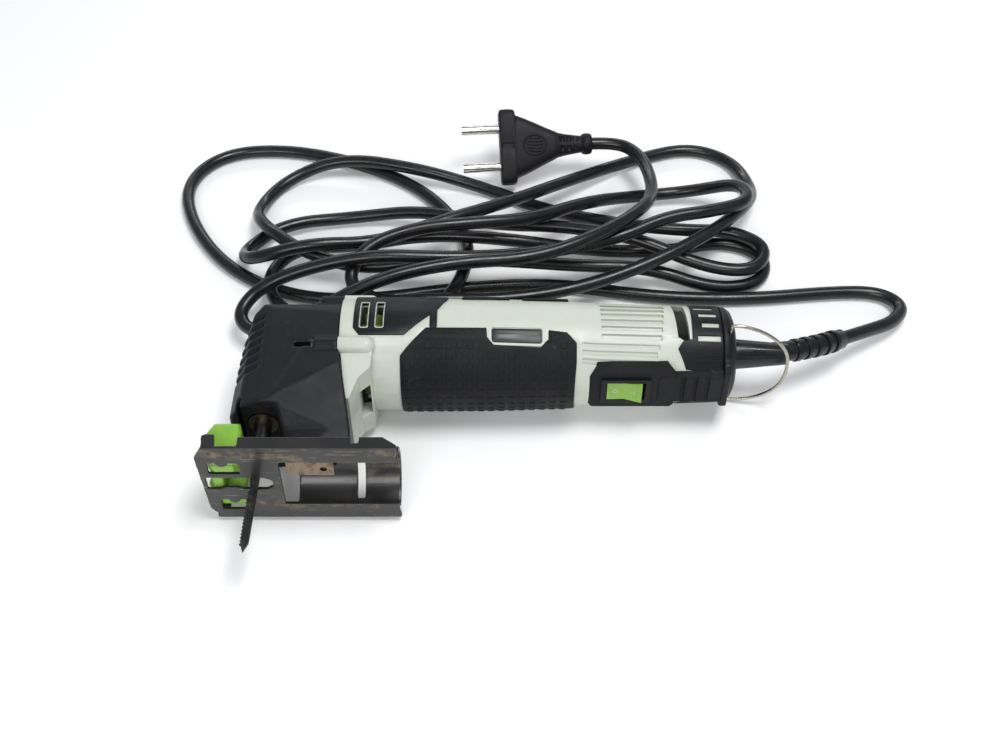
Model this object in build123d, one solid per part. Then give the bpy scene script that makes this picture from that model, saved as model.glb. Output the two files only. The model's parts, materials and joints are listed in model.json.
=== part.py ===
"""Corded mini jigsaw, lying on its side on a table, with its lead heaped behind it.

Axes while modelling: x runs back along the motor to the cord exit, -y is the way the saw
blade points, and z is up from the table.  The motor axis is y = 0, z = 0.  Every piece is
moved by HOME as it is written, so the finished tool stands on z = 0 with its origin under
the middle of its bounding box.
"""
from build123d import *
import math
import os

# ---------------------------------------------------------------- driving dimensions, mm
AXIS_HEIGHT = 24.5            # motor axis above the table
SHIFT_X = -2.3                # from the modelling frame to the finished origin
SHIFT_Y = 38.5
HOME = Pos(SHIFT_X, SHIFT_Y, AXIS_HEIGHT)

WALL = 2.2                    # housing wall
SKIN = 1.2                    # overmoulded rubber, let into the housing
PROUD = 0.6                   # how far the rubber stands out
CONTACT = 0.05                # radial running clearance
SEAM_X = -66                  # joint between gear head and motor housing
END_X = 98.5                  # rear face of the end cap
BARREL = [(SEAM_X, 23.8), (-40, 23.8), (-5, 23.6), (30, 22.6), (40, 21.8), (70, 20.7), (92, 19.9)]

HEAD_FRONT_X = -108
HEAD_TOP = 16
HEAD_HALF = 22.6
HEAD_BOTTOM = -45
HEAD_WALL = 3.0

PLUNGER_X = -96.5
PLUNGER_R = 3.75
STROKE = 8
BLADE_THICK = 1.0
BLADE_WIDTH = 4.0
BLADE_TIP = -101.5

SOLE_Y = -69.5                # underside of the sole, and the height of its tilt axis
SOLE_THICK = 1.5
SOLE_FRONT, SOLE_REAR = -117.5, -39.5
SOLE_HALF = 22
LIP_TOP = -63.5
TUNNEL_R = 13.3               # inside radius of the half-round tunnel
TUNNEL_FRONT = -80.5
SADDLE_GAP = 0.4
SCREW_ANGLE = 38              # tilt clamp screw, degrees from straight up
SCREW_X = -69

MODULE = 0.8
PINION_TEETH, GEAR_TEETH = 12, 36
GEAR_CENTRE = -(MODULE * (PINION_TEETH + GEAR_TEETH) / 2 + 0.15)
GEAR_X = (-87, -80)
AXLE_R = 2.5
PIN_R = 1.8

SHAFT_R = 2.5
CAN_R, CAN_INSIDE_R = 19.0, 17.4
MAGNET_R = 13.9
CORE_R = 13.2
COMMUTATOR_R = 6.0

SWITCH_FACE_Y = -20.3
SWITCH_X = 52.3
ROCKER_PIVOT_Y = -18.4
ROCKER_TILT = 8               # degrees either side of level

BAIL_PIVOT = (95.5, -5.0)
BAIL_WIRE_R = 0.75

CORD_D = 6.2

# ---------------------------------------------------------------- helpers


def block(x, y, z):
    """Box between pairs of limits on each axis."""
    size = [limits[1] - limits[0] for limits in (x, y, z)]
    middle = [(limits[0] + limits[1]) / 2 for limits in (x, y, z)]
    return Pos(*middle) * Box(*size)


def rod(radius, start, end):
    """Round bar between two points."""
    along = Vector(*end) - Vector(*start)
    plane = Plane(origin=start, z_dir=along)
    return extrude(plane * Circle(radius), along.length)


def tube(outer, inner, start, end):
    return rod(outer, start, end) - rod(inner, start, end)


def prism_xy(points, z0, z1):
    return extrude(Plane.XY.offset(z0) * Polygon(*points, align=None), z1 - z0, dir=(0, 0, 1))


def prism_yz(points, x0, x1):
    """Points are (y, z)."""
    return extrude(Plane.YZ.offset(x0) * Polygon(*points, align=None), x1 - x0, dir=(1, 0, 0))


def prism_xz(points, y0, y1):
    """Points are (x, z)."""
    plane = Plane(origin=(0, y1, 0), x_dir=(1, 0, 0), z_dir=(0, -1, 0))
    return extrude(plane * Polygon(*points, align=None), y1 - y0, dir=(0, -1, 0))


def turned(profile):
    """Solid of revolution about the motor axis from (x, radius) points."""
    outline = [(profile[0][0], 0)] + list(profile) + [(profile[-1][0], 0)]
    return revolve(Plane.XY * Polygon(*outline, align=None), axis=Axis.X)


def inset(profile, depth):
    return [(x, radius - depth) for x, radius in profile]


def mirrored(shape):
    return mirror(shape, about=Plane.XY)


def side_half(side):
    """Half space on one side of the parting plane: side is +1 for left, -1 for right."""
    limits = (0, 60) if side > 0 else (-60, 0)
    return block((-150, 150), (-120, 60), limits)


nodes = {}


def keep(name, *solids):
    """Record a node, made of one or more separate solids."""
    nodes[name] = solids[0] if len(solids) == 1 else Compound(children=[
        piece for solid in solids for piece in solid.solids()])


# ---------------------------------------------------------------- gear head
def head_body(grow):
    """Outer form of the head casting, shrunk inwards by a negative grow."""
    top = HEAD_TOP + grow
    half = HEAD_HALF + grow
    front = HEAD_FRONT_X - grow
    side = prism_xy([(SEAM_X, top), (-97, top - 2.5), (-103.5, top - 9), (-106.5, top - 20),
                     (front, top - 34), (front, HEAD_BOTTOM - grow), (SEAM_X, HEAD_BOTTOM - grow)],
                    -half, half)
    corner = 14.5
    plane = Plane.YZ.offset(front)
    section = plane * (Pos((top - 60) / 2, 0) * RectangleRounded(60 + top, 2 * half, corner))
    plan = prism_xz([(SEAM_X, half), (-95, half - 1), (-103.5, half - 5.5), (front, half - 12),
                     (front, 12 - half), (-103.5, 5.5 - half), (-95, 1 - half), (SEAM_X, -half)],
                    -60, 30)
    return side & extrude(section, SEAM_X - front) & plan


def gear_housing():
    shell = head_body(0)
    foot = prism_xy([(-90, -40), (-83.5, -57), (-82, -66), (-57.5, -66), (-59.5, -50),
                     (-63.5, -28), (-66, -16), (-80, -16)], -30, 30)
    foot &= prism_yz([(-10, 22.6), (-44, 22), (-53, 14.6), (-66, 13.6), (-66, -9.4), (-49, -9.4),
                      (-46, -14), (-44, -21), (-10, -22.6)], -95, -50)
    shell += foot
    facet = Plane(origin=(-65, -22, 23.2), z_dir=(0.1764, -0.2844, 1))
    cut = extrude(facet * Rectangle(130, 130), 30) & block((-100, -50), (-70, -14), (0, 40))
    shell -= cut
    shell -= mirrored(cut)
    for y, z in screw_places():
        shell += rod(3.7, (-76, y, z), (SEAM_X, y, z))
    shell -= gill_grooves()
    # gear chamber, plunger chamber and the open bottom round the blade clamp
    chamber = head_body(-HEAD_WALL) & block((HEAD_FRONT_X, SEAM_X), (-36, 30), (-30, 30))
    inner_facet = Pos(0, 0, -2.6) * cut
    chamber = chamber - inner_facet - mirrored(inner_facet)
    shell -= chamber + block((-70, SEAM_X + 0.1), (-34, 10), (-16.5, 16.5))
    shell -= block((-104.5, -90), (-50, -39), (-17, 17))
    shell -= prism_xy([(-90, -39), (-89.5, -42), (-86, -50), (-90, -50)], -17, 17)
    shell -= rod(6.2, (PLUNGER_X, -40, 0), (PLUNGER_X, -30, 0))
    # saddle that the sole tunnel turns in, and the clamp screw's thread hole
    saddle_r = TUNNEL_R + SOLE_THICK + SADDLE_GAP
    shell -= rod(saddle_r, (-95, SOLE_Y, 0), (-50, SOLE_Y, 0))
    shell -= block((-95, -50), (-70, SOLE_Y + 5), (-30, 30))
    shell -= turn_to_clamp(rod(2.0, (SCREW_X, 10, 0), (SCREW_X, 19.5, 0)))
    for y, z in screw_places():
        shell -= rod(1.65, (-84, y, z), (SEAM_X, y, z))
        shell -= rod(2.9, (-77, y, z), (-72, y, z))
    # the upper plunger bush sits in a boss under the roof
    shell += rod(8, (PLUNGER_X, 3.5, 0), (PLUNGER_X, 11, 0)) & head_body(-1)
    return shell - rod(6.2, (PLUNGER_X, 3, 0), (PLUNGER_X, 9.5, 0))


def gill_grooves():
    """Seven slanted grooves round each front corner of the head."""
    slices = Part()
    for number in range(7):
        slices += Pos(-104.3, 2.0 - 4.7 * number, 0) * Rot(0, 0, 9) * Box(13.5, 1.7, 60)
    skin = head_body(0.5) - head_body(-1.3)
    return (skin & slices) - block((-112, -90), (-60, 30), (-7.5, 7.5))


def screw_places():
    return [(y, side * z) for y, z in ((15.5, 14.5), (-14.6, 20.6)) for side in (1, -1)]


def screw_clearance():
    gaps = Part()
    for y, z in screw_places():
        gaps += rod(1.75, (SEAM_X - 1, y, z), (-55.9, y, z))
    return gaps


def head_screws():
    screws = []
    for y, z in screw_places():
        screws.append(rod(2.8, (-77, y, z), (-74, y, z)) + rod(1.6, (-74, y, z), (-56, y, z)))
    return screws


# ---------------------------------------------------------------- motor housing
def vent_region(low, high):
    """Raised panel near the head, over the top of the barrel."""
    outline = [(-60.5, 40), (-60.5, -6.5), (-58, -9.6), (-39.5, -9.6), (-29, 0), (-29, -6.6),
               (-26, -6.6), (-26, 3), (-22, 12), (-22, 40)]
    return prism_xy(outline, low, high)


def grip_region(low, high):
    """Rubber under the hand, with a notch for the badge."""
    outline = [(-41, -40), (-41, -17), (-30.5, -6.7), (-5.6, -6.7), (-5.3, -10.6), (-2.6, -13.3),
               (16.6, -13.9), (20.0, -10.8), (20.0, -7.2), (27.5, -8), (31.5, -12), (31.5, -18),
               (28.5, -40)]
    return prism_xy(outline, low, high)


def badge_region(low, high):
    outline = [(-3.0, -6.6), (-3.5, -7.1), (-3.5, -11.4), (-2.8, -12.1), (16.6, -12.3), (17.3, -11.6),
               (17.3, -7.1), (16.8, -6.6)]
    return prism_xy(outline, low, high)


def rear_frame_region(low, high):
    """Bracket round the rear vents, with its tail down to the switch surround."""
    outline = [(73.5, -12.5), (75.5, -10), (79.5, -9), (80.5, 40), (92.5, 40), (92.5, -25),
               (80.5, -25), (80.5, -18), (76.8, -18)]
    return prism_xy(outline, low, high)


def pad_region(x0, x1):
    return block((x0, x1), (13, 40), (-21.5, 21.5))


def skin_layer(grow):
    return turned(inset(BARREL, -grow)) - turned(inset(BARREL, SKIN))


def barrel_and_features():
    """Both housing halves as one body, before they are split at the parting plane."""
    body = turned(BARREL)
    # half-round columns that take the head screws
    for y, z in screw_places():
        body += rod(3.9, (SEAM_X, y, z), (-55, y, z)) + Pos(-55, y, z) * Sphere(3.9)
    # short web under the barrel, against the back of the head's foot
    web = prism_xy([(SEAM_X, -10), (-63.5, -28), (-61.8, -38), (-60.6, -38), (-57.2, -29),
                    (-52.6, -24.5), (-51.5, -10)], -22, 22)
    web &= prism_yz([(-10, 21.4), (-20, 20.2), (-38, 15), (-38, -15), (-20, -20.2), (-10, -21.4)],
                    -70, -30)
    body += web
    cavity = turned(inset(BARREL, WALL))
    cavity += rod(CAN_INSIDE_R, (88, 0, 0), (95, 0, 0))
    body -= cavity
    # window on the underside, in front of the fan
    body -= block((-57.4, -53.2), (-38, -17), (-8.5, 8.5))
    body -= screw_clearance()
    saddle_r = TUNNEL_R + SOLE_THICK + SADDLE_GAP
    return body - rod(saddle_r, (-95, SOLE_Y, 0), (-30, SOLE_Y, 0))


def ribbed(body, side):
    """Two grip panels of raised ribs towards the rear, with a recessed floor."""
    for row in range(6):
        y = 9.5 - 3.6 * row
        channel = block((42, 69 - row * 0.4), (y - 1.1, y + 1.1), (0, 30))
        channel &= turned(inset(BARREL, -5)) - turned(inset(BARREL, 1.1))
        body -= channel if side > 0 else mirrored(channel)
    for row in range(3):
        y = -12.0 - 2.5 * row
        channel = block((34, 66 - row), (y - 0.8, y + 0.8), (0, 30))
        channel &= turned(inset(BARREL, -5)) - turned(inset(BARREL, 0.7))
        body -= channel if side > 0 else mirrored(channel)
    return body


def vent_slots(side):
    """Air slots through the panel near the head, and behind the ribs."""
    limits = (8, 40) if side > 0 else (-40, -8)
    slots = Part()
    for x in (-56.2, -49.8):
        slots += block((x - 1.5, x + 1.5), (-6.5, 8.2), limits)
    slots += prism_xy([(72.2, 13), (73.6, -8), (76.2, -9.5), (78.6, -9.5), (77.2, 13)], *limits)
    return slots


def rear_bars(side):
    """Four slots through the rear frame that leave the white housing visible."""
    limits = (5, 40) if side > 0 else (-40, -5)
    bars = Part()
    for x0, x1, y in ((80.5, 90, 8.5), (82, 91, 3.2), (83, 91.6, -2.6), (81, 92, -8.6)):
        bars += block((x0 + 0.7, x1 - 0.7), (y - 1.2, y + 1.2), limits)
    return bars


def switch_box(x0, x1, wide, face, back):
    """Boxy lower rear of the housing with bevelled long edges."""
    bevel = 2.5
    outline = [(back, wide + 1), (face + bevel, wide), (face, wide - bevel), (face, bevel - wide),
               (face + bevel, -wide), (back, -wide - 1)]
    return prism_yz(outline, x0, x1)


def switch_opening():
    return block((SWITCH_X - 9.6, SWITCH_X + 9.6), (-30, -8), (-6, 6))


def surround_blank():
    """Black moulding under the rear of the housing, before its finger grooves are cut."""
    front = switch_box(36, 73, 13.0, SWITCH_FACE_Y, -9)
    front &= prism_xz([(36, -7), (41.5, -15), (67.5, -15), (73, -9), (73, 9), (67.5, 15), (41.5, 15),
                       (36, 7)], -40, 0)
    rear = switch_box(66, 92.5, 9.4, SWITCH_FACE_Y - 0.6, -12)
    return front + rear - turned(inset(BARREL, 3.4)) - switch_opening()


def finger_grooves():
    face = SWITCH_FACE_Y - 0.6
    grooves = Part()
    for x in (76, 81, 86):
        grooves += block((x - 0.9, x + 0.9), (face - 0.9, face + 0.9), (-20, 20))
    return grooves


def overmoulds(surround):
    """Rubber and trim pieces let into the housing skin, by node name."""
    pieces = {}
    layer = skin_layer(PROUD)
    for side, name in ((1, "left"), (-1, "right")):
        low, high = (0, 60) if side > 0 else (-60, 0)
        panel = (layer & vent_region(low, high)) - vent_slots(side)
        pieces[name + "_vent_panel"] = panel - screw_clearance()
        grip = layer & grip_region(low, high)
        pieces[name + "_grip_sleeve"] = grip
        frame = (layer & rear_frame_region(low, high)) - rear_bars(side) - surround
        pieces[name + "_rear_frame"] = frame.solids().sort_by(SortBy.VOLUME)[-1]
        plate = turned(inset(BARREL, -0.2)) - turned(inset(BARREL, 0.9))
        pieces[name + "_badge_plate"] = plate & badge_region(low, high)
    return pieces


# ---------------------------------------------------------------- gears
def gear_face(teeth, phase):
    """Involute gear outline, thinned for backlash, with the first tooth at angle phase."""
    pitch_r = MODULE * teeth / 2
    base_r = pitch_r * math.cos(math.radians(20))
    tip_r = pitch_r + 0.8 * MODULE
    root_r = pitch_r - 1.25 * MODULE
    roll = math.tan(math.radians(20)) - math.radians(20)
    half = math.pi / (2 * teeth) - 0.06 / pitch_r
    outline = []
    for tooth in range(teeth):
        centre = math.radians(phase) + 2 * math.pi * tooth / teeth
        flank = []
        for step in range(5):
            radius = max(root_r, base_r) + (tip_r - max(root_r, base_r)) * step / 4
            pressure = math.acos(min(1, base_r / radius))
            width = half + roll - (math.tan(pressure) - pressure)
            flank.append((radius, width))
        flank = [(root_r, flank[0][1] * 1.05)] + flank
        rising = [(radius, centre - width) for radius, width in flank]
        falling = [(radius, centre + width) for radius, width in reversed(flank)]
        outline += [(r * math.cos(a), r * math.sin(a)) for r, a in rising + falling]
    return Polygon(*outline, align=None)


def gear_wheel(teeth, phase, y, x0, x1, bore):
    plane = Plane.YZ.offset(x0) * Pos(y, 0)
    wheel = extrude(plane * gear_face(teeth, phase), x1 - x0, dir=(1, 0, 0))
    return wheel - rod(bore, (x0, y, 0), (x1, y, 0))


# ---------------------------------------------------------------- sole
def sole_plate():
    outline = [(SOLE_FRONT + 3.5, SOLE_HALF), (SOLE_REAR, SOLE_HALF), (SOLE_REAR - 2, 0),
               (SOLE_REAR, -SOLE_HALF), (SOLE_FRONT + 6, -SOLE_HALF), (SOLE_FRONT + 1.5, -16),
               (SOLE_FRONT, 16)]
    plate = prism_xz(outline, SOLE_Y, SOLE_Y + SOLE_THICK)
    long_edges = plate.edges().filter_by(Axis.Y).sort_by(Axis.X)
    plate = fillet(long_edges[:4], 2.5)
    # turned-up sides, with a gap near the front, and the two front ears
    for side in (1, -1):
        near, far = side * (SOLE_HALF - SOLE_THICK), side * SOLE_HALF
        limits = (min(near, far), max(near, far))
        lip = prism_xy([(-100.5, SOLE_Y), (-100.5, LIP_TOP), (-45, LIP_TOP), (-39.5, SOLE_Y + 2),
                        (-39.5, SOLE_Y)], *limits)
        ear = prism_xy([(-113.8, SOLE_Y), (-114.6, LIP_TOP + 0.5), (-113, LIP_TOP + 1.6),
                        (-109.5, LIP_TOP + 1.2), (-108.6, SOLE_Y)], *limits)
        plate += lip + ear
    # half-round tunnel
    axis_ends = (TUNNEL_FRONT, SOLE_Y, 0), (SOLE_REAR, SOLE_Y, 0)
    half_round = tube(TUNNEL_R + SOLE_THICK, TUNNEL_R, *axis_ends)
    above = block((-120, 0), (SOLE_Y, 0), (-30, 30))
    plate -= block((-85.5, -30), (SOLE_Y - 1, SOLE_Y + 4), (-TUNNEL_R, TUNNEL_R))
    plate += half_round & above
    # arc slot for the clamp screw, then the cross gap and side window behind it
    arc = tube(TUNNEL_R + 4, TUNNEL_R - 3, (SCREW_X - 3.4, SOLE_Y, 0), (SCREW_X + 3.4, SOLE_Y, 0))
    wedge = [(0, 0)]
    for angle in range(-17, 50, 11):
        wedge.append((30 * math.cos(math.radians(angle)), 30 * math.sin(math.radians(angle))))
    plate -= Pos(0, SOLE_Y, 0) * (Pos(0, -SOLE_Y, 0) * arc & prism_yz(wedge, -90, -50))
    plate -= block((-57, -54), (SOLE_Y + 3, SOLE_Y + 20), (-30, 30))
    plate -= block((-65, -57), (SOLE_Y + 3, SOLE_Y + 10), (8, 14))
    # fence slots with their half-round tabs, and the blade slot
    for z, x0 in ((9.5, -113), (-13.5, -111)):
        slot = block((x0, x0 + 12), (SOLE_Y - 1, SOLE_Y + 3), (z - 3.4, z + 3.4))
        tab = rod(2.3, (x0 + 5.5, SOLE_Y - 2, z + 3.4), (x0 + 5.5, SOLE_Y + 4, z + 3.4))
        plate -= slot - tab
    blade_slot = [(-115, 3.6), (-92, 3.6), (-89, 1.8), (-89, -1.8), (-92, -3.6), (-101, -3.6),
                  (-104, -2.4), (-108, -2.4), (-111, -3.6), (-115, -3.6)]
    return plate - prism_xz(blade_slot, SOLE_Y - 1, SOLE_Y + 3)


def finger_guard():
    """Two rounded cheeks either side of the blade, joined by a low bridge."""
    inner, outer = 7.0, 16.5
    cheeks = Part()
    reach = 23.6
    outline = [(-116.4, -63.5), (-115.6, -58), (-111.8, -50.5), (-109.4, -48.4), (-104.6, -47.6),
               (-102.2, -50), (-100.8, -55.5), (-100.8, SOLE_Y + 1.6), (-113, SOLE_Y + 1.6)]
    for side in (1, -1):
        cheek = fillet(prism_xy(outline, inner, outer).edges().filter_by(Axis.Z), 1.5)
        cheek = chamfer(cheek.faces().sort_by(Axis.Z)[-1].edges(), 1.4)
        cheek = cheek if side > 0 else mirrored(cheek)
        cheeks += cheek & rod(reach, (-118, SOLE_Y, 0), (-95, SOLE_Y, 0))
    bridge = block((-113, -108.5), (SOLE_Y + 1.6, -60.5), (-inner - 0.5, inner + 0.5))
    shape = cheeks + bridge
    return shape + block((-111.5, -103), (SOLE_Y + 0.3, SOLE_Y + 1.6), (6.8, 10.6))


# ---------------------------------------------------------------- blade and plunger
def plunger_rod():
    bar = rod(PLUNGER_R, (PLUNGER_X, 4.2, 0), (PLUNGER_X, -60.5, 0))
    bar -= block((PLUNGER_X - 5, PLUNGER_X + 5), (-61, -50.5), (-0.55, 0.55))
    bar -= rod(1.5, (PLUNGER_X, -56.5, 0.5), (PLUNGER_X, -56.5, 6))
    return bar


def saw_blade():
    half = BLADE_WIDTH / 2
    front, back = PLUNGER_X - half, PLUNGER_X + half
    pitch, depth = 1.6, 0.9
    outline = [(back - 0.6, -51.0), (back - 0.6, -62), (back, -64), (back - 0.4, BLADE_TIP + 4),
               (back - 2.2, BLADE_TIP), (front + 1.6, BLADE_TIP), (front + 0.6, BLADE_TIP + 3)]
    count = int((SOLE_Y - 2 - (BLADE_TIP + 3)) / pitch)
    y = BLADE_TIP + 3
    for tooth in range(count):
        outline.append((front, y + 0.15))
        y += pitch
        outline.append((front + depth, y))
    outline += [(front + 0.2, -66), (front + 0.6, -62), (front + 0.6, -51.0)]
    return prism_xy(outline, -BLADE_THICK / 2, BLADE_THICK / 2)


# ---------------------------------------------------------------- rear end
def end_cap():
    cap = turned([(92.5, 20.2), (95, 20.0), (97.2, 18.4), (END_X, 15.4)])
    cap += switch_box(92.5, 95.5, 12.4, SWITCH_FACE_Y - 0.4, -12)
    cap -= rod(7.1, (90, 0, 0), (110, 0, 0))
    cap -= turned([(92, 16.5), (95.5, 16)])
    eye_x, eye_y = BAIL_PIVOT
    for side in (1, -1):
        cap -= rod(BAIL_WIRE_R + CONTACT, (eye_x, eye_y, side * 16), (eye_x, eye_y, side * 22))
    return cap


def hanging_bail():
    """Wire loop: two stub ends in the cap's eyes, legs, and a wide bow behind."""
    px, py = BAIL_PIVOT
    drop = math.tan(math.radians(8))
    route = []
    for x, z in ((px, 17.6), (px, 22.4), (100.5, 23), (108.5, 21), (116.5, 15.5), (121.3, 7),
                 (121.3, -7), (116.5, -15.5), (108.5, -21), (100.5, -23), (px, -22.4), (px, -17.6)):
        route.append((x, py - (x - px) * drop, z))
    radii = [1.3, 2.5] + [9] * 6 + [2.5, 1.3]
    path = FilletPolyline(*route, radius=radii)
    start = Plane(origin=route[0], z_dir=(0, 0, 1))
    return sweep(start * Circle(BAIL_WIRE_R), path=path)


# ---------------------------------------------------------------- cord
RELIEF = [(98.8, 0, 0), (112, 0.5, 0), (126, 3.5, -1.5), (139, 9.5, -4.5), (150, 16.5, -8)]

# Route of the lead in the finished frame, from the strain relief to the plug.
ROUTE = [
    # strain relief, then the tight hairpin behind it
    (147.7, 55.0, 16.5), (163.5, 65.5, 11.2), (177.5, 74.8, 7), (185, 87, 4.4), (177, 97.3, 3.3),
    (158, 98.6, 3.2),
    # along the back of the tool, lowest of all
    (110, 93, 3.2), (68, 95, 3.2), (24, 104, 3.2), (-22, 101, 3.2), (-62, 93, 3.2), (-98, 94, 3.2),
    # outer left loop
    (-132, 113, 3.2), (-155, 146, 3.2), (-163, 178, 3.2), (-146, 202, 3.2), (-112, 205, 3.2),
    (-73, 193, 3.2), (-40, 172, 3.2), (-19, 140, 3.2), (-17, 110, 9.9), (-28, 82, 9.9),
    # hidden turn behind the tool, then the long straight strand to the right
    (-50, 71, 3.2), (-78, 71, 3.2), (-104, 80, 9.9), (-112, 101, 9.9), (-100, 122, 9.9),
    (-72, 130, 3.2), (-38, 126, 14.6), (0, 123, 14.6), (40, 127, 3.2), (78, 126, 3.2), (106, 134, 3.2),
    (126, 124, 3.2), (122, 104, 3.2), (98, 100, 3.2),
    # back to the left and round the middle left loop
    (68, 108, 9.9), (36, 109, 9.9), (4, 108, 14), (-30, 106, 18), (-66, 106, 9.9), (-94, 110, 17),
    (-116, 130, 17), (-124, 156, 3.2), (-112, 180, 3.2), (-84, 190, 9.9), (-46, 182, 9.9),
    (-12, 175, 3.2), (20, 157, 3.2), (54, 139, 9.9), (86, 134, 9.9), (110, 134, 9.9),
    (126, 122, 9.9), (118, 105, 9.9), (94, 108, 9.9),
    # along the top of the bundle to the inner left loop
    (62, 122, 16.5), (28, 130, 16.5), (-6, 138, 10), (-40, 149, 10), (-76, 151, 3.2),
    (-108, 143, 6.5), (-127, 126, 3.2), (-120, 106, 16), (-92, 108, 25), (-60, 116, 18),
    (-30, 128, 21.5), (0, 146, 17), (34, 172, 10.5), (66, 196, 3.2), (96, 207, 3.2),
    (118, 196, 3.2), (125, 172, 5), (120, 148, 16), (102, 124, 21), (72, 104, 18.5),
    (36, 92, 12), (0, 84, 12), (-34, 80, 16.5),
    # short turn behind the tool, then up to the right and back again
    (-56, 78, 16), (-73, 89, 17), (-66, 105, 25), (-44, 115, 28), (-16, 119, 28),
    (12, 126, 24), (40, 146, 18), (66, 164, 6), (94, 168, 6), (116, 158, 20), (118, 138, 25),
    (98, 128, 27.5), (76, 124, 27.5), (52, 112, 24), (14, 104, 22), (-26, 98, 25),
    (-60, 96, 29), (-90, 93, 24),
    # last turn behind the head and out to the plug
    (-112, 88, 17), (-122, 74, 12), (-112, 62, 12), (-90, 63, 20),
    (-60, 77, 31), (-24, 88, 32), (14, 92, 30.5), (46, 108, 32), (65, 128, 29), (72, 148, 21),
    (72, 168, 18), (68, 183, 17.7), (58, 192.5, 17.7), (44.5, 191.5, 17.7),
]

PLUG_END = ROUTE[-1]


def strain_relief():
    """Sleeve that narrows from the end cap, with ribs over its last half."""
    path = FilletPolyline(*RELIEF, radius=22)
    sleeve = sweep(Plane(origin=RELIEF[0], z_dir=(1, 0, 0)) * Circle(4.4), path=path)
    taper = turned([(RELIEF[0][0], 6.6), (RELIEF[0][0] + 24, 4.5)])
    sleeve += taper
    for number in range(5):
        place = path @ (0.5 + 0.095 * number)
        along = path % (0.5 + 0.095 * number)
        rib = extrude(Plane(origin=place, z_dir=along) * Circle(5.0), 2.2)
        sleeve += rib
    return sleeve


def power_cord():
    corners = []
    for before, here, after in zip(ROUTE, ROUTE[1:], ROUTE[2:]):
        into, out = Vector(*here) - Vector(*before), Vector(*after) - Vector(*here)
        half_turn = math.radians(into.get_angle(out)) / 2
        corners.append(0.45 * min(into.length, out.length) / math.tan(half_turn))
    print("cord radii, mm:", [round(radius) for radius in corners])
    path = FilletPolyline(*ROUTE, radius=corners)
    start = Plane(origin=ROUTE[0], z_dir=Vector(*ROUTE[1]) - Vector(*ROUTE[0]))
    cord = sweep(start * Circle(CORD_D / 2), path=path)
    expected = math.pi * (CORD_D / 2) ** 2 * path.length
    print(f"cord length {path.length:.0f} mm, volume {cord.volume:.0f} of {expected:.0f} mm3")
    return cord


def plug_parts():
    """Contour plug lying on the heap: body, then its two pins, in the finished frame."""
    tail = Vector(*PLUG_END)
    along = tail - Vector(*ROUTE[-2])
    frame = Plane(origin=tail, x_dir=along.normalized(),
                  z_dir=along.cross(Vector(0.1, 0.72, 0.69)).normalized())
    bead = rod(5.4, (0, 0, 0), (6, 0, 0)) + rod(4.4, (5, 0, 0), (11, 0, 0))
    outline = [(10, -5.5), (22, -8.5), (36, -14.5), (41, -18.5), (47, -19), (47, 19), (41, 18.5),
               (36, 14.5), (22, 8.5), (10, 5.5)]
    slab = prism_xy(outline, -7, 7)
    slab = fillet(slab.edges().filter_by(GeomType.LINE).filter_by(Axis.Z, reverse=True), 2.6)
    body = bead + slab
    pins = [rod(2.4, (47, side * 9.5, 0), (66, side * 9.5, 0)) for side in (1, -1)]
    return frame.location * body, [frame.location * pin for pin in pins]


# ---------------------------------------------------------------- assembly
def build_housing():
    surround = surround_blank()
    pieces = overmoulds(surround)
    pads = [skin_layer(0.9) & pad_region(-16, 4), skin_layer(0.9) & pad_region(9.5, 29)]
    body = barrel_and_features() - block((37, 95), (-30, SWITCH_FACE_Y), (-19, 19))
    for side, name in ((1, "left"), (-1, "right")):
        half = ribbed(body & side_half(side), side) - vent_slots(side) - nodes["gear_housing"]
        for piece_name, piece in pieces.items():
            if piece_name.startswith(name):
                half -= piece
        for piece in [surround, switch_opening()] + pads:
            half -= piece
        keep(name + "_shell", half)
    for name, piece in pieces.items():
        keep(name, piece)
    keep("top_pads", *pads)
    keep("switch_surround", surround - finger_grooves())


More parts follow.
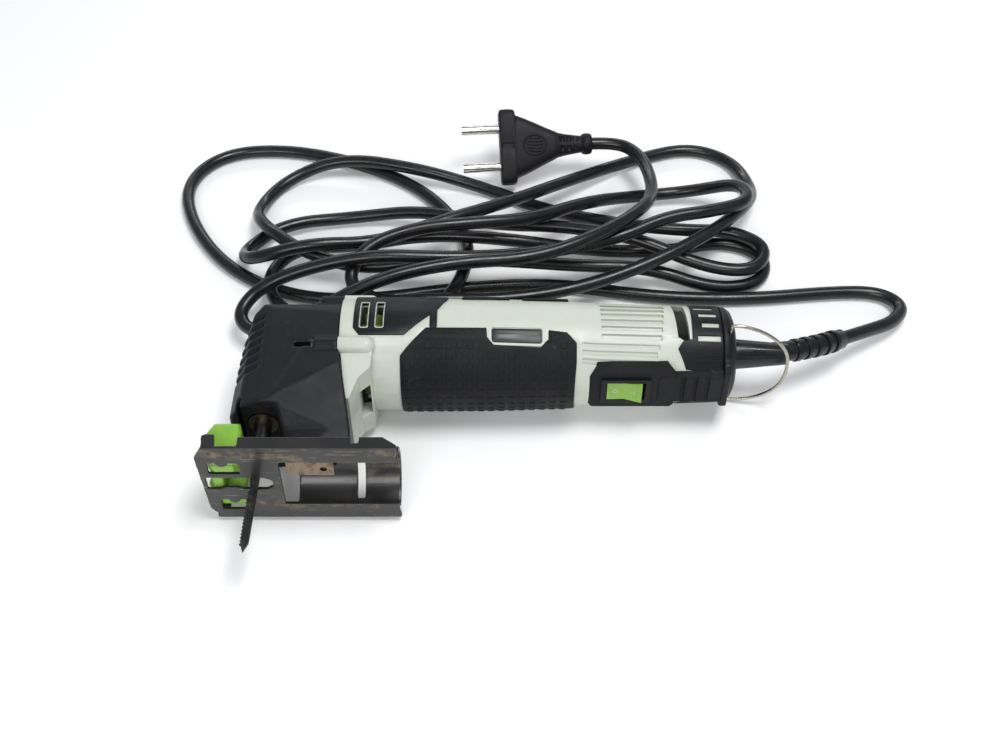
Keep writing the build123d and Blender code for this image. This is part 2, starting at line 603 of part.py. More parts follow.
def build_head():
    keep("gear_housing", gear_housing())
    plate = rod(20, (SEAM_X, 0, 0), (SEAM_X + 3, 0, 0)) & block((-70, -50), (-30, 30), (-20, 20))
    plate -= rod(6.5, (SEAM_X, 0, 0), (SEAM_X + 3, 0, 0))
    stub = rod(5.0, (-79.5, GEAR_CENTRE, 0), (SEAM_X, GEAR_CENTRE, 0))
    post = rod(AXLE_R, (GEAR_X[0], GEAR_CENTRE, 0), (SEAM_X, GEAR_CENTRE, 0))
    keep("bearing_plate", plate + stub - post - nodes["gear_housing"] - screw_clearance())
    keep("gear_axle", post)
    keep("head_screws", *head_screws())
    upper = tube(6.2, PLUNGER_R + CONTACT, (PLUNGER_X, 3.5, 0), (PLUNGER_X, 9.5, 0))
    lower = tube(6.2, PLUNGER_R + CONTACT, (PLUNGER_X, -39, 0), (PLUNGER_X, -30, 0))
    keep("upper_plunger_bush", upper)
    keep("lower_plunger_bush", lower)
    clamp = tube(TUNNEL_R - 0.4, TUNNEL_R - 1.9, (-84, SOLE_Y, 0), (-64.5, SOLE_Y, 0))
    wedge = [(SOLE_Y, 0), (SOLE_Y + 30 * 0.92, 30 * 0.38), (SOLE_Y + 30 * 0.45, 30 * 0.89)]
    hole = turn_to_clamp(rod(2.05, (SCREW_X, 5, 0), (SCREW_X, 20, 0)))
    bracket = (clamp & prism_yz(wedge, -90, -50)) - hole
    bracket += block((-83.5, -65), (SOLE_Y + 3.3, SOLE_Y + 4.7), (1.5, 11.6))
    bracket += block((-83.5, -65), (SOLE_Y + 3.3, SOLE_Y + 5.9), (9.6, 11.3))
    bracket -= rod(1.4, (SCREW_X, SOLE_Y, 5.2), (SCREW_X, SOLE_Y + 8, 5.2))
    keep("sole_clamp_plate", bracket)
    screw = rod(2.0, (SCREW_X, 10.8, 0), (SCREW_X, 19, 0))
    screw += rod(3.2, (SCREW_X, 8.2, 0), (SCREW_X, 10.8, 0))
    keep("sole_clamp_screw", turn_to_clamp(screw))


def turn_to_clamp(shape):
    """Swing a shape modelled straight up from the tilt axis to the clamp screw's angle."""
    return Pos(0, SOLE_Y, 0) * Rot(SCREW_ANGLE, 0, 0) * shape


def build_motor():
    can = tube(CAN_R, CAN_INSIDE_R, (-38, 0, 0), (30, 0, 0))
    keep("motor_can", can + tube(CAN_R, 5, (-38, 0, 0), (-36.5, 0, 0)))
    arcs = tube(CAN_INSIDE_R, MAGNET_R, (-30, 0, 0), (8, 0, 0))
    magnets = [arcs & block((-40, 20), limits, (-20, 20)) for limits in ((4, 20), (-20, -4))]
    keep("magnets", *magnets)
    keep("front_motor_bearing", tube(6.5, SHAFT_R + CONTACT, (SEAM_X, 0, 0), (SEAM_X + 3, 0, 0)))
    keep("rear_motor_bearing", tube(6.5, SHAFT_R + CONTACT, (32, 0, 0), (36, 0, 0)))
    bell = rod(CAN_R, (30, 0, 0), (36, 0, 0)) - rod(6.5, (32, 0, 0), (36, 0, 0))
    keep("end_bell", bell - rod(4, (30, 0, 0), (32, 0, 0)))
    holders, brushes, springs = [], [], []
    for side in (1, -1):
        near, far = sorted((side * 8, side * 16))
        holder = block((14.5, 30), (near, far), (-4, 4)) - block((17.5, 22.5), (-20, 20), (-2.5, 2.5))
        holders.append(holder)
        near, far = sorted((side * (COMMUTATOR_R + CONTACT), side * 12.5))
        brushes.append(block((17.5, 22.5), (near, far), (-2.5, 2.5)))
        coil_y = 12.5 if side > 0 else -16
        for turn in range(4):
            springs.append(Pos(20, coil_y + 0.45 + 0.85 * turn, 0) * Rot(90, 0, 0) * Torus(1.8, 0.4))
    keep("brush_holders", *holders)
    keep("brushes", *brushes)
    keep("brush_springs", *springs)
    keep("motor_shaft", rod(SHAFT_R, (-88.5, 0, 0), (37, 0, 0)))
    core = tube(CORE_R, SHAFT_R, (-28, 0, 0), (6, 0, 0))
    for number in range(10):
        turn = Rot(number * 36, 0, 0)
        core -= turn * block((-28, 6), (9.5, 14), (-0.9, 0.9)) + turn * rod(1.9, (-28, 9, 0), (6, 9, 0))
    keep("armature_core", core)
    keep("armature_windings", tube(11, 4, (-33, 0, 0), (-28, 0, 0)), tube(11, 4, (6, 0, 0), (11, 0, 0)))
    commutator = tube(COMMUTATOR_R, SHAFT_R, (13, 0, 0), (26, 0, 0))
    for number in range(10):
        commutator -= Rot(number * 36, 0, 0) * block((13, 26), (5, 7), (-0.25, 0.25))
    keep("commutator", commutator)
    fan = tube(5.5, SHAFT_R, (-57, 0, 0), (-46, 0, 0)) + tube(18, 4, (-48.2, 0, 0), (-46.6, 0, 0))
    for number in range(12):
        blade = block((-57, -48), (5, 17.5), (-0.6, 0.6))
        fan += Rot(number * 30, 0, 0) * blade
    keep("cooling_fan", fan)
    keep("pinion", gear_wheel(PINION_TEETH, 180, 0, -88, -79.6, SHAFT_R))
    keep("rectifier_board", block((40, 66), (4, 5.6), (-13, 13)) + block((44, 56), (5.6, 12), (-5, 5)))


def build_drive():
    wheel = gear_wheel(GEAR_TEETH, 180 / GEAR_TEETH, GEAR_CENTRE, *GEAR_X, AXLE_R + CONTACT)
    keep("drive_gear", wheel)
    crank = (GEAR_CENTRE, STROKE / 2)
    keep("eccentric_pin", rod(PIN_R, (-89.6, *crank), (GEAR_X[0], *crank)))
    # cross slot for the pin, on a block that wraps the back of the plunger
    yoke = block((-94.5, -90), (GEAR_CENTRE - 5, GEAR_CENTRE + 5), (-8.5, 8.5))
    yoke -= block((-92.4, -89), (GEAR_CENTRE - 2, GEAR_CENTRE + 2), (-6.5, 6.5))
    keep("plunger_rod", plunger_rod())
    keep("plunger_yoke", yoke - rod(PLUNGER_R, (PLUNGER_X, 0, 0), (PLUNGER_X, -40, 0)))
    keep("saw_blade", saw_blade())
    screw = rod(1.5, (PLUNGER_X, -56.5, 0.5), (PLUNGER_X, -56.5, 3.4))
    screw -= rod(0.8, (PLUNGER_X, -56.5, 2.2), (PLUNGER_X, -56.5, 3.5))
    keep("blade_clamp_screw", screw)


def build_sole():
    guard = finger_guard()
    plate = sole_plate()
    keep("sole_plate", plate)
    keep("finger_guard", guard - plate)


def build_switch():
    face = SWITCH_FACE_Y
    bezel = block((SWITCH_X - 10.4, SWITCH_X + 10.4), (face - 1.3, face), (-6.6, 6.6))
    can = block((SWITCH_X - 9.6, SWITCH_X + 9.6), (face, face + 12), (-6, 6))
    hollow = block((SWITCH_X - 8.1, SWITCH_X + 8.1), (face - 2, face + 8), (-5.2, 5.2))
    keep("switch_body", bezel + can - hollow)
    centre = Pos(SWITCH_X, ROCKER_PIVOT_Y, 0)
    outline = [(-7.3, -3.9), (0, -2.7), (7.3, -3.9), (7.0, 0.5), (4, 3.0), (-4, 3.0), (-7.0, 0.5)]
    button = prism_xy(outline, -5.0, 5.0) + rod(1.2, (0, 0, -5.15), (0, 0, 5.15))
    keep("rocker_button", centre * Rot(0, 0, -ROCKER_TILT) * button)


def build_rear():
    keep("end_cap", end_cap())
    keep("hanging_bail", hanging_bail())
    keep("strain_relief", strain_relief())


def main():
    os.makedirs("parts", exist_ok=True)
    for build in (build_head, build_housing, build_motor, build_drive, build_sole,
                  build_switch, build_rear):
        build()
    finished = {name: HOME * solid for name, solid in nodes.items()}
    plug_body, plug_pins = plug_parts()
    finished["power_cord"] = power_cord()
    finished["plug_body"] = plug_body
    finished["plug_pins"] = Compound(children=plug_pins)
    for name, solid in finished.items():
        export_step(solid, f"parts/{name}.step")
    tool = [solid for name, solid in finished.items()
            if name not in ("power_cord", "plug_body", "plug_pins", "strain_relief")]
    low = [min(getattr(solid.bounding_box().min, axis) for solid in tool) for axis in "XYZ"]
    high = [max(getattr(solid.bounding_box().max, axis) for solid in tool) for axis in "XYZ"]
    print("tool box, mm:", [round(value, 2) for value in low], [round(value, 2) for value in high])


main()
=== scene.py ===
"""Looks for the corded mini jigsaw: materials, fine detail, lead, plug, lights and camera."""
import json
import math

import bmesh
import bpy
from mathutils import Matrix, Vector


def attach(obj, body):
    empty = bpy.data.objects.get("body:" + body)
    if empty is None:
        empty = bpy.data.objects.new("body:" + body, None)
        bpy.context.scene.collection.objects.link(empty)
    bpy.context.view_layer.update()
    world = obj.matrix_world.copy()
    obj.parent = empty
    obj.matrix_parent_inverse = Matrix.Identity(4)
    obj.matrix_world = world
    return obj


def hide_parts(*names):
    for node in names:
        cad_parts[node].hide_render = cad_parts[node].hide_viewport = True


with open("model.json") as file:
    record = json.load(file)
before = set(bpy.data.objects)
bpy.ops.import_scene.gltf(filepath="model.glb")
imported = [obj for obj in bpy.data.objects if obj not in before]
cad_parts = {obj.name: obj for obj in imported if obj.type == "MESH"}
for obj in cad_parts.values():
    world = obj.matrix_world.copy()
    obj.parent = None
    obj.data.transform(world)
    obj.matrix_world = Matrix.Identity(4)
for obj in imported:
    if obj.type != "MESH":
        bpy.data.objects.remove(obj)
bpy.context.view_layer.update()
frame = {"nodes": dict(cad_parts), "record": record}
nodes = frame["nodes"]

MM = 0.001
# where the modelling numbers' zero, on the motor axis, lies in the finished frame, mm
SHIFT = Vector((-2.3, 38.5, 24.5))
# (x, radius) along the barrel's skin, mm
BARREL = [(-66, 23.8), (-40, 23.8), (-5, 23.6), (30, 22.6), (40, 21.8), (70, 20.7), (92, 19.9)]


def at(x, y, z):
    """A point given in the part's own modelling numbers, mm, as metres in the frame."""
    return (Vector((x, y, z)) + SHIFT) * MM


def barrel_radius(x):
    """Radius of the barrel's skin at a place along it, mm."""
    for (x0, r0), (x1, r1) in zip(BARREL, BARREL[1:]):
        if x <= x1:
            return r0 + (r1 - r0) * (x - x0) / (x1 - x0)
    return BARREL[-1][1]


# ---------------------------------------------------------------- materials
# heights that the bump nodes stand for, m
FINE_BUMP = 0.0001
GRAIN_BUMP = 0.00012
SOFT_BUMP = 0.0002
JACKET_WAVE = 0.0004
STREAK_BUMP = 0.00008


class Graph:
    """A material's node tree, with short calls for the nodes used here."""

    def __init__(self, name, rough, metallic=0.0, coat=0.0, specular=0.5):
        self.material = bpy.data.materials.new(name)
        self.material.use_nodes = True
        self.tree = self.material.node_tree
        self.shader = self.tree.nodes["Principled BSDF"]
        self.shader.inputs["Roughness"].default_value = rough
        self.shader.inputs["Metallic"].default_value = metallic
        self.shader.inputs["Coat Weight"].default_value = coat
        self.shader.inputs["Coat Roughness"].default_value = 0.12
        self.shader.inputs["Specular IOR Level"].default_value = specular
        self.place = self.tree.nodes.new("ShaderNodeTexCoord").outputs["Object"]

    def link(self, source, target):
        self.tree.links.new(source, target)

    def noise(self, scale, detail=3.0, stretch=None, roughness=0.55):
        node = self.tree.nodes.new("ShaderNodeTexNoise")
        node.inputs["Scale"].default_value = scale
        node.inputs["Detail"].default_value = detail
        node.inputs["Roughness"].default_value = roughness
        source = self.place
        if stretch:
            mapping = self.tree.nodes.new("ShaderNodeMapping")
            mapping.inputs["Scale"].default_value = stretch
            self.link(source, mapping.inputs["Vector"])
            source = mapping.outputs["Vector"]
        self.link(source, node.inputs["Vector"])
        return node.outputs["Fac"]

    def ramp(self, source, low, high, dark=0.0, light=1.0):
        node = self.tree.nodes.new("ShaderNodeMapRange")
        for key, value in zip(("From Min", "From Max", "To Min", "To Max"), (low, high, dark, light)):
            node.inputs[key].default_value = value
        self.link(source, node.inputs["Value"])
        return node.outputs["Result"]

    def times(self, one, two):
        node = self.tree.nodes.new("ShaderNodeMath")
        node.operation = "MULTIPLY"
        self.link(one, node.inputs[0])
        self.link(two, node.inputs[1])
        return node.outputs["Value"]

    def mix(self, factor, one, two):
        node = self.tree.nodes.new("ShaderNodeMix")
        node.data_type = "RGBA"
        self.link(factor, node.inputs["Factor"])
        for key, value in (("A", one), ("B", two)):
            socket = [s for s in node.inputs if s.name == key and s.type == "RGBA"][0]
            if isinstance(value, (tuple, list)):
                socket.default_value = (*value, 1)
            else:
                self.link(value, socket)
        return [s for s in node.outputs if s.type == "RGBA"][0]

    def facing_down_y(self, low, high):
        """0 to 1 as the surface turns to face along the object's -Y."""
        node = self.tree.nodes.new("ShaderNodeSeparateXYZ")
        coord = self.tree.nodes.new("ShaderNodeTexCoord")
        self.link(coord.outputs["Normal"], node.inputs["Vector"])
        return self.ramp(node.outputs["Y"], -low, -high)

    def colour(self, source):
        self.link(source, self.shader.inputs["Base Color"])

    def rough(self, source):
        self.link(source, self.shader.inputs["Roughness"])

    def bump(self, source, strength, distance):
        node = self.tree.nodes.new("ShaderNodeBump")
        node.inputs["Strength"].default_value = strength
        node.inputs["Distance"].default_value = distance
        self.link(source, node.inputs["Height"])
        if self.shader.inputs["Normal"].is_linked:
            self.link(self.shader.inputs["Normal"].links[0].from_socket, node.inputs["Normal"])
        self.link(node.outputs["Normal"], self.shader.inputs["Normal"])


def moulded(name, colour, rough, grain=2600, depth=0.25, dust=None, dust_share=0.5, coat=0.0,
            specular=0.5, spread=0.16):
    """Moulded plastic or rubber: fine spark-eroded grain, handling marks, and dust in patches."""
    graph = Graph(name, rough, coat=coat, specular=specular)
    patches = graph.noise(55, 4)
    darker = tuple(c * (1 - spread) for c in colour)
    lighter = tuple(c * (1 + spread) for c in colour)
    base = graph.mix(graph.ramp(patches, 0.35, 0.65), darker, lighter)
    if dust:
        specks = graph.ramp(graph.noise(420, 5, roughness=0.7), 0.58, 0.78, 0, dust_share)
        cloud = graph.ramp(graph.noise(38, 3), 0.42, 0.7)
        base = graph.mix(graph.times(specks, cloud), base, dust)
    graph.colour(base)
    graph.rough(graph.ramp(graph.noise(90, 4), 0.3, 0.7, max(0.05, rough - 0.07), rough + 0.08))
    graph.bump(graph.noise(grain, 2), depth, GRAIN_BUMP)
    graph.bump(graph.noise(140, 2), 0.12, SOFT_BUMP)
    return graph.material


def metal(name, colour, rough, stretch=(1, 1, 1), scale=700, depth=0.12, stain=None):
    """Bare or plated metal with fine streaks, and stained in spots if a stain is given."""
    graph = Graph(name, rough, metallic=1.0)
    streaks = graph.noise(scale, 4, stretch=stretch)
    base = graph.mix(graph.ramp(streaks, 0.3, 0.7), tuple(c * 0.8 for c in colour),
                     tuple(min(1, c * 1.15) for c in colour))
    if stain:
        base = graph.mix(graph.ramp(graph.noise(260, 4), 0.5, 0.68, 0, 0.75), base, stain)
    graph.colour(base)
    graph.rough(graph.ramp(streaks, 0.3, 0.7, max(0.06, rough - 0.1), rough + 0.12))
    graph.bump(streaks, depth, STREAK_BUMP)
    return graph.material


def worn_sole():
    """Glossy black paint, rubbed to tan primer and dull steel along the underside."""
    graph = Graph("worn_black_steel", 0.3, coat=0.25)
    below = graph.facing_down_y(0.6, 0.9)
    blotch = graph.ramp(graph.noise(75, 7, stretch=(0.45, 1, 1.6), roughness=0.72), 0.52, 0.63)
    scratch = graph.ramp(graph.noise(900, 3, stretch=(0.06, 1, 1)), 0.62, 0.74)
    wear = graph.times(below, blotch)
    paint = graph.mix(graph.ramp(graph.noise(60, 3), 0.35, 0.65), (0.006, 0.006, 0.0065),
                      (0.014, 0.0135, 0.013))
    tan = graph.mix(graph.ramp(graph.noise(300, 4), 0.4, 0.6), (0.035, 0.024, 0.016),
                    (0.17, 0.125, 0.072))
    body = graph.mix(wear, paint, tan)
    lines = graph.mix(graph.ramp(graph.noise(30, 2), 0.4, 0.6), (0.10, 0.085, 0.07),
                      (0.26, 0.23, 0.20))
    body = graph.mix(graph.times(below, scratch), body, lines)
    graph.colour(body)
    graph.rough(graph.ramp(wear, 0, 1, 0.3, 0.62))
    graph.bump(scratch, 0.2, GRAIN_BUMP)
    graph.bump(graph.noise(700, 4), 0.16, FINE_BUMP)
    return graph.material


def cord_jacket():
    """Smooth black jacket of the lead, slightly wavy along its length."""
    graph = Graph("lead_jacket", 0.3, coat=0.08, specular=0.38)
    patches = graph.noise(30, 4)
    graph.colour(graph.mix(graph.ramp(patches, 0.35, 0.65), (0.0035, 0.0038, 0.0045),
                           (0.0075, 0.0078, 0.009)))
    graph.rough(graph.ramp(graph.noise(160, 4), 0.3, 0.7, 0.2, 0.4))
    graph.bump(graph.noise(45, 2), 0.35, JACKET_WAVE)
    graph.bump(graph.noise(1500, 2), 0.12, FINE_BUMP)
    return graph.material


DUST = (0.34, 0.31, 0.27)
LOOKS = {
    "black_casing": moulded("charcoal_nylon", (0.0068, 0.0072, 0.01), 0.46, dust=DUST,
                            dust_share=0.14, specular=0.2),
    "white_casing": moulded("off_white_nylon", (0.50, 0.53, 0.46), 0.42, depth=0.18,
                            dust=(0.36, 0.34, 0.28), dust_share=0.2, spread=0.03),
    "soft_grip": moulded("black_rubber", (0.0065, 0.0068, 0.0085), 0.6, grain=3600, depth=0.35,
                         dust=DUST, dust_share=0.2, specular=0.2),
    "badge": moulded("dark_badge", (0.018, 0.019, 0.022), 0.42, depth=0.08),
    "green_plastic": moulded("lime_plastic", (0.20, 0.41, 0.04), 0.3, depth=0.1, coat=0.2,
                             dust=(0.30, 0.27, 0.15), dust_share=0.35),
    "fan_plastic": moulded("fan_plastic", (0.17, 0.19, 0.035), 0.5, dust=(0.2, 0.17, 0.1)),
    "black_steel": worn_sole(),
    "bright_steel": metal("machined_steel", (0.50, 0.49, 0.47), 0.3, (1, 0.08, 1),
                          stain=(0.2, 0.16, 0.12)),
    "nickel_wire": metal("nickel_wire", (0.70, 0.68, 0.63), 0.2, (0.3, 0.3, 1), 900, 0.06),
    "blade_steel": metal("blackened_steel", (0.06, 0.06, 0.062), 0.42, (1, 0.1, 1), 1200, 0.2,
                         (0.16, 0.14, 0.12)),
    "screw_steel": metal("plated_screw", (0.34, 0.34, 0.33), 0.36, stain=(0.1, 0.09, 0.08)),
    "bronze": metal("sintered_bronze", (0.52, 0.36, 0.18), 0.42),
    "copper": metal("enamelled_copper", (0.66, 0.30, 0.16), 0.28, (0.1, 1, 1), 1500),
    "magnet": moulded("ferrite", (0.06, 0.06, 0.065), 0.62),
    "core_steel": metal("laminations", (0.28, 0.28, 0.29), 0.45, (12, 0.1, 0.1), 160, 0.4),
    "carbon": moulded("carbon", (0.03, 0.03, 0.03), 0.5),
    "board": moulded("circuit_board", (0.05, 0.19, 0.07), 0.4, coat=0.3),
    "cord_jacket": cord_jacket(),
    "plug_plastic": moulded("plug_pvc", (0.0065, 0.0063, 0.008), 0.5, grain=2200, depth=0.6,
                            specular=0.22),
    "gear_steel": metal("hobbed_steel", (0.42, 0.42, 0.43), 0.32, (0.1, 1, 1)),
}


def dress(thing, slot_name):
    """Puts the look of a named slot on every material slot of a piece."""
    if not thing.material_slots:
        thing.data.materials.append(LOOKS[slot_name])
    for slot in thing.material_slots:
        slot.material = LOOKS[slot_name]


def give_own_look(material, *names):
    """A look of its own for pieces that differ from the rest of their slot."""
    for name in names:
        for slot in nodes[name].material_slots:
            slot.material = material


for row in frame["record"]["subparts"]:
    dress(nodes[row["node"]], row["material_slot"])
give_own_look(metal("blackened_screw", (0.05, 0.05, 0.055), 0.4), "head_screws")
give_own_look(metal("oily_bronze", (0.11, 0.085, 0.055), 0.45),
              "upper_plunger_bush", "lower_plunger_bush")
give_own_look(metal("stained_bracket", (0.27, 0.21, 0.15), 0.42, (1, 0.08, 1),
                    stain=(0.07, 0.045, 0.03)), "sole_clamp_plate")


# ---------------------------------------------------------------- edges of the moulded pieces
WELD_GAP = 0.000004
SHARPEST_FLAT = math.radians(0.6)
BEVELLED_EDGE = math.radians(32)


def soften(name, width):
    """Rounded edges on a piece: flat faces are joined first, so that the bevel runs evenly."""
    thing = nodes[name]
    weld = thing.modifiers.new("weld", "WELD")
    weld.merge_threshold = WELD_GAP
    flat = thing.modifiers.new("flat", "DECIMATE")
    flat.decimate_type = "DISSOLVE"
    flat.angle_limit = SHARPEST_FLAT
    bevel = thing.modifiers.new("bevel", "BEVEL")
    bevel.width = width * MM
    bevel.segments = 2
    bevel.limit_method = "ANGLE"
    bevel.angle_limit = BEVELLED_EDGE
    bevel.use_clamp_overlap = True
    bevel.harden_normals = True


def cast(name, voxel, rounds):
    """Worn, rounded edges all over a casting or pressing, as an even mesh."""
    thing = nodes[name]
    even = thing.modifiers.new("even", "REMESH")
    even.mode = "VOXEL"
    even.voxel_size = voxel * MM
    even.use_smooth_shade = True
    relax = thing.modifiers.new("relax", "SMOOTH")
    relax.factor = 0.5
    relax.iterations = rounds


for name, voxel, rounds in (("gear_housing", 0.55, 8), ("finger_guard", 0.45, 14),
                            ("sole_plate", 0.36, 4), ("end_cap", 0.5, 4)):
    cast(name, voxel, rounds)
for name, width in (("left_shell", 0.35), ("right_shell", 0.35),
                    ("left_vent_panel", 0.3), ("right_vent_panel", 0.3), ("left_rear_frame", 0.3),
                    ("right_rear_frame", 0.3), ("switch_surround", 0.8), ("rocker_button", 0.45),
                    ("left_badge_plate", 0.12), ("right_badge_plate", 0.12), ("switch_body", 0.25),
                    ("left_grip_sleeve", 0.25), ("right_grip_sleeve", 0.25), ("top_pads", 0.35),
                    ("strain_relief", 0.4), ("sole_clamp_plate", 0.2), ("saw_blade", 0.08)):
    soften(name, width)


# ---------------------------------------------------------------- mesh helpers
def stand(name, data):
    """A new object in the scene."""
    thing = bpy.data.objects.new(name, data)
    bpy.context.scene.collection.objects.link(thing)
    return thing


def add_mesh(name, mesh, slot_name, body, smooth=True):
    """A piece from a mesh, with its slot's look, riding a body."""
    thing = stand(name, mesh)
    for face in mesh.polygons:
        face.use_smooth = smooth
    dress(thing, slot_name)
    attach(thing, body)
    return thing


def mesh_of(name, vertices, faces):
    """A new mesh from corner places and the faces between them."""
    mesh = bpy.data.meshes.new(name)
    mesh.from_pydata([tuple(v) for v in vertices], [], faces)
    mesh.validate()
    return mesh


def tube_curve(name, places, radius, facets):
    """Round wire or cord on a smooth curve, its control points and radius in metres."""
    curve = bpy.data.curves.new(name, "CURVE")
    curve.dimensions = "3D"
    curve.resolution_u = 10
    curve.bevel_depth = radius
    curve.bevel_resolution = facets
    curve.use_fill_caps = True
    line = curve.splines.new("NURBS")
    line.points.add(len(places) - 1)
    for point, place in zip(line.points, places):
        point.co = (*place, 1)
    line.order_u = 3
    line.use_endpoint_u = True
    return stand(name, curve)


def ring_faces(count, around):
    """Faces of a closed ring of equal cross sections."""
    faces = []
    for index in range(count):
        here, there = index * around, (index + 1) % count * around
        for edge in range(around):
            step = (edge + 1) % around
            faces.append((here + edge, there + edge, there + step, here + step))
    return faces


def oval_ring(half_wide, half_thick, power, count):
    """Superellipse round the local x axis: (y, z) points."""
    points = []
    for step in range(count):
        angle = 2 * math.pi * step / count
        c, s = math.cos(angle), math.sin(angle)
        points.append((half_wide * math.copysign(abs(c) ** (2 / power), c),
                       half_thick * math.copysign(abs(s) ** (2 / power), s)))
    return points


def loft(stations, count):
    """Closed skin through (x, half_wide, half_thick, power) stations."""
    vertices, faces = [], []
    for x, wide, thick, power in stations:
        vertices += [(x, y, z) for y, z in oval_ring(wide, thick, power, count)]
    for ring in range(len(stations) - 1):
        for step in range(count):
            a = ring * count + step
            b = ring * count + (step + 1) % count
            faces.append((a, b, b + count, a + count))
    faces.append(tuple(range(count - 1, -1, -1)))
    last = (len(stations) - 1) * count
    faces.append(tuple(range(last, last + count)))
    return vertices, faces


def pillows(places):
    """Small raised blocks with sloping sides.

    Each is (centre, across, along, up, half_a, half_b, rise, slope), in metres.
    """
    vertices, faces = [], []
    for centre, across, along, up, half_a, half_b, rise, slope in places:
        start = len(vertices)
        for level, shrink in ((-0.3 * rise, 0.0), (rise * 0.7, slope * 0.35), (rise, slope)):
            for a, b in ((-1, -1), (1, -1), (1, 1), (-1, 1)):
                vertices.append(centre + across * a * (half_a - shrink)
                                + along * b * (half_b - shrink) + up * level)
        for level in (0, 4):
            for side in range(4):
                a = start + level + side
                b = start + level + (side + 1) % 4
                faces.append((a, b, b + 4, a + 4))
        faces.append((start + 8, start + 9, start + 10, start + 11))
        faces.append((start + 3, start + 2, start + 1, start))
    return vertices, faces


# ---------------------------------------------------------------- raised grid on the grip
def in_grip(x, y):
    """Inside the rubber sleeve and clear of the badge notch, in modelling numbers."""
    if not -39.8 < x < 30.2 or y > -8.6:
        return False
    if x < -30.5:
        return y < -18.2 + (x + 41) * 0.98
    if -7.6 < x < 21.8:
        return y < -15.4
    if x > 26:
        return y < -9.5 - (x - 26) * 0.9
    return True


def grip_grid(side):
    """Rows of raised squares that follow the sleeve, clear of the seam between the halves."""
    places = []
    pitch, half, rise = 4.3, 1.35, 0.3
    first_x, first_angle = -38.2, -0.42
    sleeve_lift, seam_gap, mean_radius = 0.55, 1.6, 24.0
    for column in range(17):
        x = first_x + pitch * column
        radius = barrel_radius(x) + sleeve_lift
        for row in range(9):
            angle = first_angle - row * pitch / mean_radius
            y, z = radius * math.sin(angle), radius * math.cos(angle) * side
            corners = [in_grip(x + a * half, y + b * half) for a in (-1, 1) for b in (-1, 1)]
            if not all(corners) or abs(z) < seam_gap:
                continue
            up = Vector((0, math.sin(angle), math.cos(angle) * side))
            along = Vector((1, 0, 0))
            across = up.cross(along)
            places.append((at(x, y, z), across, along, up, half * MM, half * MM,
                           rise * MM, rise * MM))
    return mesh_of("grip_grid", *pillows(places))


add_mesh("left_grip_grid", grip_grid(1), "soft_grip", "housing", smooth=False)
add_mesh("right_grip_grid", grip_grid(-1), "soft_grip", "housing", smooth=False)


# ---------------------------------------------------------------- rims on the barrel
POINT_GAP = 0.8


def on_barrel(x, y, side, lift):
    """A place over the barrel's skin, on its left side for 1 and its right for -1."""
    radius = barrel_radius(x) + lift
    return at(x, y, math.sqrt(max(0.0, radius ** 2 - y ** 2)) * side)


def points_between(start, end):
    """Evenly spaced points on a straight run, without its two ends."""
    gap = end - start
    count = int(gap.length / POINT_GAP)
    return [start + gap * step / (count + 1) for step in range(1, count + 1)]


def round_corners(outline, radius):
    """Closed outline with each corner replaced by a short curve."""
    steps = 5
    points = []
    for index, corner in enumerate(outline):
        before, after = Vector(outline[index - 1]), Vector(outline[(index + 1) % len(outline)])
        corner = Vector(corner)
        start = corner + (before - corner).normalized() * radius
        end = corner + (after - corner).normalized() * radius
        if points:
            points += points_between(points[-1], start)
        for step in range(steps + 1):
            t = step / steps
            points.append((1 - t) ** 2 * start + 2 * t * (1 - t) * corner + t ** 2 * end)
    return points + points_between(points[-1], points[0])


def rim(name, outline, side, half_width, low, high, radius):
    """Raised white border that follows the barrel along a closed (x, y) outline."""
    points = round_corners(outline, radius)
    count = len(points)
    vertices = []
    for index, point in enumerate(points):
        along = (points[(index + 1) % count] - points[index - 1]).normalized()
        out = Vector((along.y, -along.x))
        for offset, lift in ((-1, low), (-0.75, high), (0.75, high), (1, low)):
            place = point + out * half_width * offset
            vertices.append(on_barrel(place.x, place.y, side, lift))
    mesh = mesh_of(name, vertices, ring_faces(count, 4))
    shell = bmesh.new()
    shell.from_mesh(mesh)
    bmesh.ops.recalc_face_normals(shell, faces=shell.faces)
    shell.to_mesh(mesh)
    shell.free()
    return add_mesh(name, mesh, "white_casing", "housing", smooth=False)


for side, word in ((1, "left"), (-1, "right")):
    rim(word + "_badge_rim", [(-4.2, -5.9), (-4.2, -13.0), (18.0, -13.0), (18.0, -5.9)], side,
        0.5, -0.2, 0.5, radius=1.6)
    for number, x in enumerate((-56.2, -49.8)):
        rim(f"{word}_vent_rim_{number}", [(x - 1.7, -6.7), (x - 1.7, 8.4), (x + 1.7, 8.4),
            (x + 1.7, -6.7)], side, 0.27, 0.2, 0.6, radius=0.8)


# ---------------------------------------------------------------- boss over the plunger bush
def plunger_boss():
    """Hollow domed cap over the end of the upper plunger bush, clear of the sliding rod."""
    centre_x = -96.5
    # the bore from its roof down, then the outside from its foot up
    stations = [(9.6, 6.25), (4, 6.25), (4, 7.2), (8.9, 7.2), (9.6, 6.95), (10.1, 6.3), (10.3, 5.2)]
    vertices, faces = loft([(y, radius, radius, 2) for y, radius in stations], 48)
    return mesh_of("plunger_boss", [at(centre_x + a, y, b) for y, a, b in vertices], faces)


add_mesh("plunger_boss", plunger_boss(), "black_casing", "housing", smooth=False)


# ---------------------------------------------------------------- hanging bail
BAIL_R = 0.75


